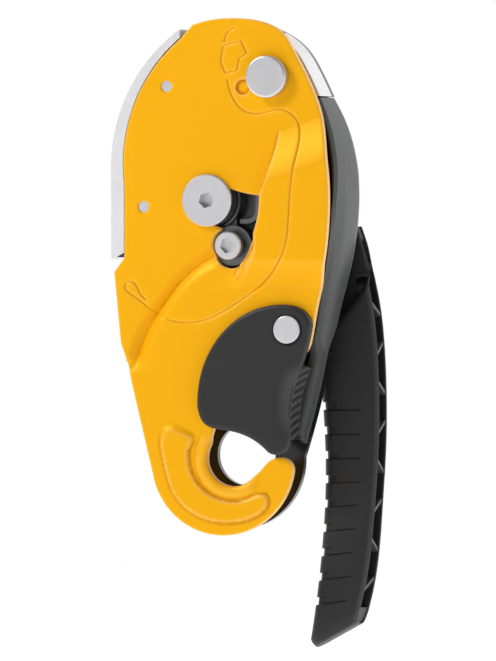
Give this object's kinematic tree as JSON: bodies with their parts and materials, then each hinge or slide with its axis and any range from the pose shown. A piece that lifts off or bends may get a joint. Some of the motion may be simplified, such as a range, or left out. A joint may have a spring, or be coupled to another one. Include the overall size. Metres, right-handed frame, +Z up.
{
  "type": "handled rope descender",
  "caption": "Handled self-braking rope device with a swinging side plate, sprung gate over its hook, eccentric cam, friction strip and a long ribbed control handle.",
  "frame": {"origin": "centre of the attachment hole in the fixed plate, halfway through the plate", "axes": "+X towards the handle, +Y from the moving plate to the fixed plate and out of the back, +Z up along the plates"},
  "size_m": [0.0933, 0.0484, 0.2256],
  "materials": {
    "side_plate_paint": "satin anodised amber yellow",
    "fixed_plate_black": "gloss black",
    "guard_grey": "satin dark grey",
    "nylon_black": "satin near-black nylon",
    "stainless": "bright brushed stainless",
    "steel_satin": "satin steel",
    "cam_steel": "dark cast stainless, satin",
    "spring_steel": "blackened spring wire",
    "bush_polymer": "acetal bush"
  },
  "bodies": {
    "fixed_side": {"fixed_side_plate": "fixed_plate_black", "side_guard": "guard_grey", "upper_guard": "stainless", "rear_cover": "nylon_black", "cover_screws": "steel_satin", "main_axle_bolt": "steel_satin", "axle_collar": "cam_steel", "axle_washer": "steel_satin", "axle_nut": "steel_satin", "plate_pivot_bolt": "steel_satin", "plate_pivot_spacer": "steel_satin", "plate_pivot_ring": "spring_steel", "cam_stop_pin": "steel_satin", "handle_spring": "spring_steel"},
    "side_plate": {"moving_side_plate": "side_plate_paint", "friction_strip": "stainless", "strip_rivets": "steel_satin", "gate_pivot_rivet": "steel_satin"},
    "gate": {"safety_gate": "nylon_black", "gate_bush": "bush_polymer", "gate_spring": "spring_steel"},
    "cam": {"cam": "cam_steel", "cam_bush": "bush_polymer", "cam_pin_bolt": "steel_satin", "cam_pin_collar": "steel_satin", "cam_spring": "spring_steel"},
    "handle": {"handle_lever": "cam_steel", "handle_grip": "nylon_black", "handle_bush": "bush_polymer"}
  },
  "joints": [
    {"name": "side_plate_swing", "type": "hinge", "parent": "fixed_side", "child": "side_plate", "pos_m": [0.0139, -0.018, 0.1352], "axis": [0, 1, 0], "range_deg": [0, 100]},
    {"name": "gate_swing", "type": "hinge", "parent": "side_plate", "child": "gate", "pos_m": [0.0221, -0.018, 0.0448], "axis": [0, 1, 0], "range_deg": [0, 28], "stiffness_Nm_per_rad": 0.02, "springref_deg": -20.05},
    {"name": "cam_turn", "type": "hinge", "parent": "fixed_side", "child": "cam", "pos_m": [-0.009, -0.018, 0.0911], "axis": [0, 1, 0], "range_deg": [-45, 4], "stiffness_Nm_per_rad": 0.06},
    {"name": "handle_turn", "type": "hinge", "parent": "fixed_side", "child": "handle", "pos_m": [-0.009, -0.018, 0.0911], "axis": [0, 1, 0], "range_deg": [-110, 0], "stiffness_Nm_per_rad": 0.03, "springref_deg": 17.19}
  ]
}
